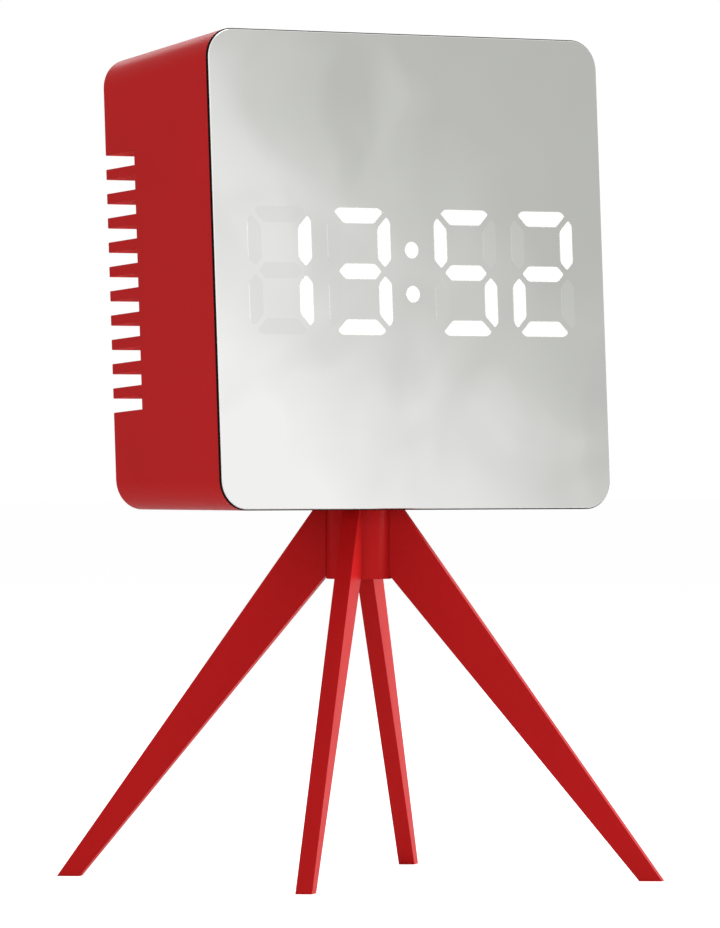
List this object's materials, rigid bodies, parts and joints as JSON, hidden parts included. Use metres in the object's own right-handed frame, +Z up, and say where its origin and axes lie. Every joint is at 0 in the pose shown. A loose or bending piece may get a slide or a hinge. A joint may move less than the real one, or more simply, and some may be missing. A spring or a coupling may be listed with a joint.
{
  "type": "desk alarm clock",
  "caption": "Square mirror-fronted alarm clock with lit segment digits, tapered red case with slotted rear, on a round hub with splayed flat legs.",
  "frame": {"origin": "on the floor plane, below the axis of the hub and the middle of the four feet", "axes": "+Z up, the mirror faces -Y, +X to the viewer's right when facing the mirror"},
  "size_m": [0.1, 0.0944, 0.178],
  "materials": {
    "red_abs": "semi-gloss moulded ABS",
    "black_abs": "satin",
    "silvered_acrylic": "second-surface mirror sheet",
    "adhesive_foam": "matt",
    "white_diffuser": "lit from behind",
    "grey_diffuser": "unlit",
    "reflector_plastic": "matt",
    "led_resin": "clear over phosphor",
    "circuit_board": "solder mask",
    "zinc_steel": "zinc plated",
    "nickel_steel": "nickel plated",
    "epoxy_black": "matt",
    "aluminium_can": "drawn",
    "ribbon_grey": "flexible PVC",
    "ivory_nylon": "matt"
  },
  "bodies": {
    "clock": {"alarm_switch": "nickel_steel", "buzzer": "epoxy_black", "case_screws": "zinc_steel", "case_shell": "red_abs", "cell_contacts": "nickel_steel", "cell_holder": "black_abs", "clock_chip": "epoxy_black", "control_board": "circuit_board", "control_ribbon": "ribbon_grey", "control_screws": "zinc_steel", "crystal": "aluminium_can", "digit_block": "reflector_plastic", "display_board": "circuit_board", "front_bezel": "black_abs", "hub": "red_abs", "hub_screw": "zinc_steel", "leg_front_left": "red_abs", "leg_front_right": "red_abs", "leg_rear_left": "red_abs", "leg_rear_right": "red_abs", "lit_segments": "white_diffuser", "mirror_panel": "silvered_acrylic", "mirror_tape": "adhesive_foam", "power_board": "circuit_board", "power_ribbon": "ribbon_grey", "power_screw": "zinc_steel", "ribbon_sockets": "ivory_nylon", "segment_leds": "led_resin", "smoothing_capacitor": "aluminium_can", "snooze_switch": "epoxy_black", "tact_switches": "epoxy_black", "unlit_segments": "grey_diffuser", "usb_inlet": "nickel_steel"},
    "button_1": {"button_1": "black_abs"},
    "button_2": {"button_2": "black_abs"},
    "button_3": {"button_3": "black_abs"},
    "button_4": {"button_4": "black_abs"},
    "button_5": {"button_5": "black_abs"},
    "snooze_bar": {"snooze_bar": "red_abs"},
    "alarm_knob": {"alarm_knob": "black_abs"},
    "cell_drawer": {"cell_drawer": "black_abs", "coin_cell": "nickel_steel"}
  },
  "joints": [
    {"name": "button_1_press", "type": "slide", "parent": "clock", "child": "button_1", "axis": [0, -0.9983, 0.0576], "range_m": [0, 0.0008], "stiffness_N_per_m": 1800},
    {"name": "button_2_press", "type": "slide", "parent": "clock", "child": "button_2", "axis": [0, -0.9983, 0.0576], "range_m": [0, 0.0008], "stiffness_N_per_m": 1800},
    {"name": "button_3_press", "type": "slide", "parent": "clock", "child": "button_3", "axis": [0, -0.9983, 0.0576], "range_m": [0, 0.0008], "stiffness_N_per_m": 1800},
    {"name": "button_4_press", "type": "slide", "parent": "clock", "child": "button_4", "axis": [0, -0.9983, 0.0576], "range_m": [0, 0.0008], "stiffness_N_per_m": 1800},
    {"name": "button_5_press", "type": "slide", "parent": "clock", "child": "button_5", "axis": [0, -0.9983, 0.0576], "range_m": [0, 0.0008], "stiffness_N_per_m": 1800},
    {"name": "snooze_press", "type": "slide", "parent": "clock", "child": "snooze_bar", "axis": [0, -0.0576, -0.9983], "range_m": [0, 0.0008], "stiffness_N_per_m": 2500},
    {"name": "alarm_slide", "type": "slide", "parent": "clock", "child": "alarm_knob", "axis": [1, 0, 0], "range_m": [0, 0.003]},
    {"name": "cell_drawer_slide", "type": "slide", "parent": "clock", "child": "cell_drawer", "axis": [0, 0.9983, -0.0576], "range_m": [0, 0.022]}
  ]
}
